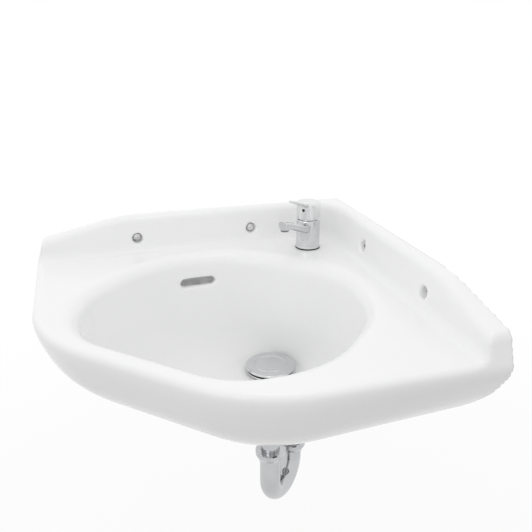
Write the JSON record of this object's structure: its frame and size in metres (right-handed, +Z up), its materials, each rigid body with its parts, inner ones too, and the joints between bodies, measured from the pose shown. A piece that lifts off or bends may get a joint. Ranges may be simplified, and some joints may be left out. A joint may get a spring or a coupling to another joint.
{
  "type": "corner wash basin",
  "caption": "White glazed corner wash basin with wall upstands, single-lever tap, click plug waste and chrome trap.",
  "frame": {"origin": "inner corner of the room at the height of the top edge of the upstands: the point where both wall faces and that level meet", "axes": "+Y out of the basin's back into the back wall, +X out of its right side into the right wall, +Z up"},
  "size_m": [0.4755, 0.4925, 0.4616],
  "materials": {
    "glaze": "gloss",
    "chrome": "polished",
    "steel": "satin",
    "brass": "satin",
    "rubber": "matte",
    "white_plastic": "matte",
    "dark_plastic": "matte"
  },
  "bodies": {
    "basin": {"ceramic_basin": "glaze", "tap_body": "chrome", "cartridge_nut": "chrome", "waste_flange": "chrome", "tailpiece": "chrome", "tail_nut": "chrome", "trap_bend": "chrome", "trap_nut_inlet": "chrome", "trap_nut_outlet": "chrome", "outlet_arm": "chrome", "wall_rose": "chrome", "wall_screws": "steel", "clamp_plate": "steel", "tap_stud": "steel", "plug_spring": "steel", "clamp_nut": "brass", "waste_nut": "brass", "tap_base_ring": "rubber", "clamp_gasket": "rubber", "waste_gasket_top": "rubber", "waste_gasket_low": "rubber", "tail_seal": "rubber", "trap_seal_inlet": "rubber", "trap_seal_outlet": "rubber", "wall_bushes": "white_plastic", "tap_cartridge": "white_plastic", "aerator": "dark_plastic", "waste_washer": "dark_plastic"},
    "carrier": {"spindle_carrier": "white_plastic", "spindle_pin": "steel"},
    "lever": {"lever_head": "chrome", "lever_spindle": "steel", "lever_screw": "steel", "lever_screw_plug": "dark_plastic"},
    "plug": {"plug_cap": "chrome", "plug_seal": "rubber", "plug_stem": "brass"}
  },
  "joints": [
    {"name": "lever_turn", "type": "hinge", "parent": "basin", "child": "carrier", "pos_m": [-0.0735, -0.0735, -0.0119], "axis": [0, 0, 1], "range_deg": [-45, 45]},
    {"name": "lever_lift", "type": "hinge", "parent": "carrier", "child": "lever", "pos_m": [-0.0735, -0.0735, -0.0119], "axis": [-0.7071, 0.7071, 0], "range_deg": [0, 18]},
    {"name": "plug_slide", "type": "slide", "parent": "basin", "child": "plug", "axis": [0, 0, 1], "range_m": [-0.0022, 0], "deforming": ["plug_spring"]}
  ]
}
